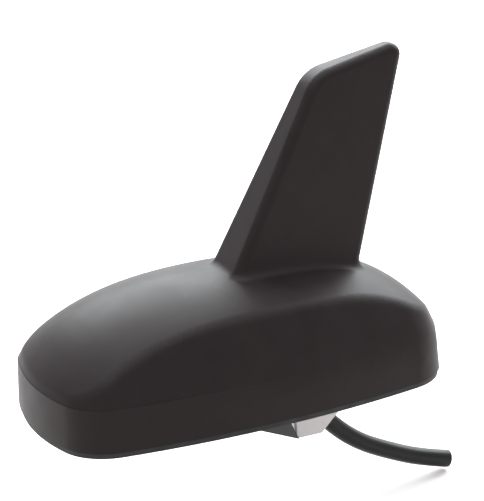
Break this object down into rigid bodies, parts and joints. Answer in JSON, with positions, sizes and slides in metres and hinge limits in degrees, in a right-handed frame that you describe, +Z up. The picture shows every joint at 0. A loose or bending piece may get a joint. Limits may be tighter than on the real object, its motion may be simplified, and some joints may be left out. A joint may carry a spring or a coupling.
{
  "type": "shark fin roof aerial",
  "caption": "Shark fin car roof aerial: black moulded radome with a raked fin on a die-cast base with a square foot, a gasket and a short lead.",
  "frame": {"origin": "on the roof skin plane, the underside of the gasket, in the middle of the foot", "axes": "+X towards the tail of the car, +Z up out of the roof, -Z into the roof along the foot"},
  "size_m": [0.1288, 0.0652, 0.1326],
  "materials": {
    "black_abs": "satin moulded",
    "black_rubber": "matt moulded",
    "zinc": "bare zinc die casting",
    "black_acetal": "smooth moulded",
    "lead_jacket": "extruded PVC",
    "steel": "zinc plated",
    "brass": "turned",
    "copper": "bright",
    "board": "solder resist",
    "tinplate": "pressed tinplate",
    "chip_black": "moulded epoxy",
    "chip_tan": "fired",
    "nylon": "moulded",
    "foam": "closed cell foam"
  },
  "bodies": {
    "root": {"radome": "black_abs", "roof_gasket": "black_rubber", "base_plate": "zinc", "snap_clip": "black_acetal", "lead": "lead_jacket", "lead_bush": "black_rubber", "lead_clamp": "steel", "clamp_screws": "steel", "lead_ferrule": "brass", "rim_seal": "black_rubber", "base_screws": "steel", "main_board": "board", "board_screws": "steel", "shield_can": "tinplate", "amplifier_chip": "chip_black", "chip_capacitors": "chip_tan", "chip_inductors": "chip_black", "coil_bobbin": "nylon", "coil_winding": "copper", "element_board": "board", "radiator": "copper", "fin_pad": "foam", "link_pins": "brass"}
  },
  "joints": []
}
